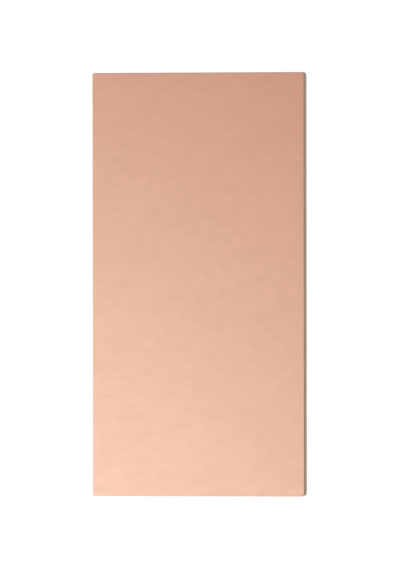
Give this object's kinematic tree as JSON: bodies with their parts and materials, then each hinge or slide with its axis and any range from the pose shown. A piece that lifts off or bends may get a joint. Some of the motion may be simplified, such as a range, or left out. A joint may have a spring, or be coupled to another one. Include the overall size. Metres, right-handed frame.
{
  "type": "copper clad board",
  "caption": "Flat rectangular blank of glass-epoxy laminate faced with bonded copper foil, with filed edges and small corner radii, to be cut, drilled or etched.",
  "frame": {"origin": "middle of the bare underside, in the plane that the board lies on", "axes": "+X across the width, +Y along the length, +Z out of the copper face"},
  "size_m": [0.1, 0.2, 0.0016],
  "materials": {
    "laminate": "satin",
    "copper": "satin"
  },
  "bodies": {
    "root": {"laminate_sheet": "laminate", "copper_foil": "copper"}
  },
  "joints": []
}
